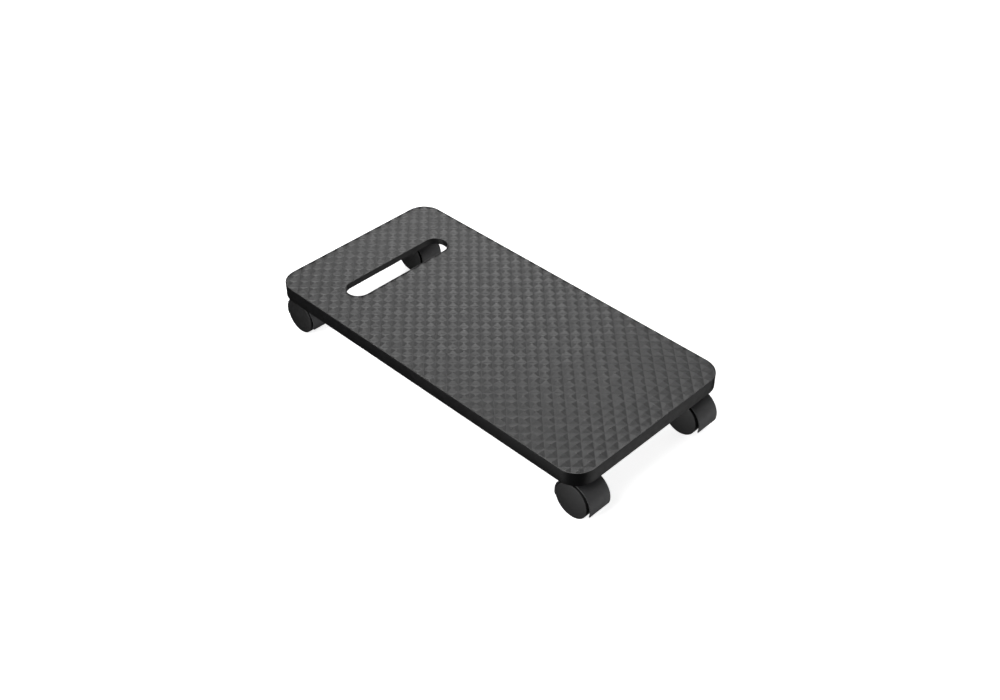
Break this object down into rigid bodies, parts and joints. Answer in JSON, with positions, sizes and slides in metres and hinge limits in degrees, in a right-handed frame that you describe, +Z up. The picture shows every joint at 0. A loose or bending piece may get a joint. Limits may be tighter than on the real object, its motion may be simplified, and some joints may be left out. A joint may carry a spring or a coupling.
{
  "type": "computer stand on casters",
  "caption": "Low wheeled stand for a desktop computer tower: a textured plastic platform with a handle slot on hooded twin-wheel casters.",
  "frame": {"origin": "on the floor, under the middle of the platform", "axes": "+Z up; +Y along the platform's length towards the end with the handle slot; +X across, to the right seen from the front (-Y) end"},
  "size_m": [0.22, 0.453, 0.068],
  "materials": {
    "platform_abs": "matte black moulded ABS with a pyramid texture on top",
    "housing_nylon": "satin black moulded nylon",
    "wheel_nylon": "satin black moulded nylon",
    "zinc_steel": "zinc plated steel, turned",
    "spring_steel": "oiled spring steel"
  },
  "bodies": {
    "platform": {"platform": "platform_abs", "front_left_stem": "zinc_steel", "front_left_grip_ring": "spring_steel", "front_left_stem_clip": "spring_steel", "front_right_stem": "zinc_steel", "front_right_grip_ring": "spring_steel", "front_right_stem_clip": "spring_steel", "rear_left_stem": "zinc_steel", "rear_left_grip_ring": "spring_steel", "rear_left_stem_clip": "spring_steel", "rear_right_stem": "zinc_steel", "rear_right_grip_ring": "spring_steel", "rear_right_stem_clip": "spring_steel"},
    "front_left_caster": {"front_left_housing": "housing_nylon", "front_left_axle": "zinc_steel"},
    "front_left_outer_wheel": {"front_left_outer_wheel": "wheel_nylon"},
    "front_left_inner_wheel": {"front_left_inner_wheel": "wheel_nylon"},
    "front_right_caster": {"front_right_housing": "housing_nylon", "front_right_axle": "zinc_steel"},
    "front_right_outer_wheel": {"front_right_outer_wheel": "wheel_nylon"},
    "front_right_inner_wheel": {"front_right_inner_wheel": "wheel_nylon"},
    "rear_left_caster": {"rear_left_housing": "housing_nylon", "rear_left_axle": "zinc_steel"},
    "rear_left_outer_wheel": {"rear_left_outer_wheel": "wheel_nylon"},
    "rear_left_inner_wheel": {"rear_left_inner_wheel": "wheel_nylon"},
    "rear_right_caster": {"rear_right_housing": "housing_nylon", "rear_right_axle": "zinc_steel"},
    "rear_right_outer_wheel": {"rear_right_outer_wheel": "wheel_nylon"},
    "rear_right_inner_wheel": {"rear_right_inner_wheel": "wheel_nylon"}
  },
  "joints": [
    {"name": "front_left_swivel", "type": "hinge", "parent": "platform", "child": "front_left_caster", "pos_m": [-0.0822, -0.2034, 0.046], "axis": [0, 0, 1], "continuous": true},
    {"name": "front_left_outer_wheel_roll", "type": "hinge", "parent": "front_left_caster", "child": "front_left_outer_wheel", "pos_m": [-0.0822, -0.2024, 0.02], "axis": [1, 0, 0], "continuous": true},
    {"name": "front_left_inner_wheel_roll", "type": "hinge", "parent": "front_left_caster", "child": "front_left_inner_wheel", "pos_m": [-0.0822, -0.2024, 0.02], "axis": [1, 0, 0], "continuous": true},
    {"name": "front_right_swivel", "type": "hinge", "parent": "platform", "child": "front_right_caster", "pos_m": [0.0822, -0.2034, 0.046], "axis": [0, 0, 1], "continuous": true},
    {"name": "front_right_outer_wheel_roll", "type": "hinge", "parent": "front_right_caster", "child": "front_right_outer_wheel", "pos_m": [0.0822, -0.2024, 0.02], "axis": [1, 0, 0], "continuous": true},
    {"name": "front_right_inner_wheel_roll", "type": "hinge", "parent": "front_right_caster", "child": "front_right_inner_wheel", "pos_m": [0.0822, -0.2024, 0.02], "axis": [1, 0, 0], "continuous": true},
    {"name": "rear_left_swivel", "type": "hinge", "parent": "platform", "child": "rear_left_caster", "pos_m": [-0.0822, 0.2034, 0.046], "axis": [0, 0, 1], "continuous": true},
    {"name": "rear_left_outer_wheel_roll", "type": "hinge", "parent": "rear_left_caster", "child": "rear_left_outer_wheel", "pos_m": [-0.0822, 0.2044, 0.02], "axis": [1, 0, 0], "continuous": true},
    {"name": "rear_left_inner_wheel_roll", "type": "hinge", "parent": "rear_left_caster", "child": "rear_left_inner_wheel", "pos_m": [-0.0822, 0.2044, 0.02], "axis": [1, 0, 0], "continuous": true},
    {"name": "rear_right_swivel", "type": "hinge", "parent": "platform", "child": "rear_right_caster", "pos_m": [0.0822, 0.2034, 0.046], "axis": [0, 0, 1], "continuous": true},
    {"name": "rear_right_outer_wheel_roll", "type": "hinge", "parent": "rear_right_caster", "child": "rear_right_outer_wheel", "pos_m": [0.0822, 0.2044, 0.02], "axis": [1, 0, 0], "continuous": true},
    {"name": "rear_right_inner_wheel_roll", "type": "hinge", "parent": "rear_right_caster", "child": "rear_right_inner_wheel", "pos_m": [0.0822, 0.2044, 0.02], "axis": [1, 0, 0], "continuous": true}
  ]
}
